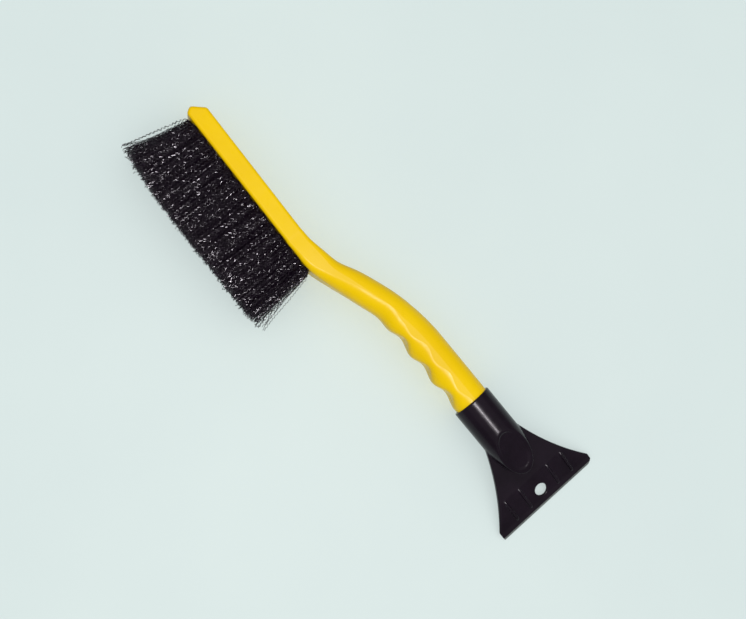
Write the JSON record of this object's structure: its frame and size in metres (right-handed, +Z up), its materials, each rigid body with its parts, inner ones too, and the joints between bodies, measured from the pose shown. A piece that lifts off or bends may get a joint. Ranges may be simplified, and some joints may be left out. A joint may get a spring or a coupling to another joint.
{
  "type": "snow brush scraper",
  "caption": "Hand snow brush with a tufted brush block, finger-grip handle and a flared ice scraper blade with a hang hole.",
  "frame": {"origin": "middle of the footprint, on the surface that the tool lies on", "axes": "+X along the handle towards the cutting edge, -Y the way the bristles point, +Z up out of the surface, towards the scraper's thumb facet"},
  "size_m": [0.4338, 0.142, 0.04],
  "materials": {
    "yellow_plastic": "moulded polypropylene, soft gloss",
    "black_plastic": "moulded black plastic, semi gloss",
    "bristle": "crimped black polypropylene filament",
    "anchor_wire": "flat galvanised wire"
  },
  "bodies": {
    "root": {"brush_body": "yellow_plastic", "scraper_head": "black_plastic", "tuft_anchors": "anchor_wire", "tuft_row1_01": "bristle", "tuft_row1_02": "bristle", "tuft_row1_03": "bristle", "tuft_row1_04": "bristle", "tuft_row1_05": "bristle", "tuft_row1_06": "bristle", "tuft_row1_07": "bristle", "tuft_row1_08": "bristle", "tuft_row1_09": "bristle", "tuft_row1_10": "bristle", "tuft_row1_11": "bristle", "tuft_row1_12": "bristle", "tuft_row1_13": "bristle", "tuft_row1_14": "bristle", "tuft_row2_01": "bristle", "tuft_row2_02": "bristle", "tuft_row2_03": "bristle", "tuft_row2_04": "bristle", "tuft_row2_05": "bristle", "tuft_row2_06": "bristle", "tuft_row2_07": "bristle", "tuft_row2_08": "bristle", "tuft_row2_09": "bristle", "tuft_row2_10": "bristle", "tuft_row2_11": "bristle", "tuft_row2_12": "bristle", "tuft_row2_13": "bristle", "tuft_row2_14": "bristle", "tuft_row3_01": "bristle", "tuft_row3_02": "bristle", "tuft_row3_03": "bristle", "tuft_row3_04": "bristle", "tuft_row3_05": "bristle", "tuft_row3_06": "bristle", "tuft_row3_07": "bristle", "tuft_row3_08": "bristle", "tuft_row3_09": "bristle", "tuft_row3_10": "bristle", "tuft_row3_11": "bristle", "tuft_row3_12": "bristle", "tuft_row3_13": "bristle", "tuft_row3_14": "bristle", "tuft_row4_01": "bristle", "tuft_row4_02": "bristle", "tuft_row4_03": "bristle", "tuft_row4_04": "bristle", "tuft_row4_05": "bristle", "tuft_row4_06": "bristle", "tuft_row4_07": "bristle", "tuft_row4_08": "bristle", "tuft_row4_09": "bristle", "tuft_row4_10": "bristle", "tuft_row4_11": "bristle", "tuft_row4_12": "bristle", "tuft_row4_13": "bristle", "tuft_row4_14": "bristle"}
  },
  "joints": []
}
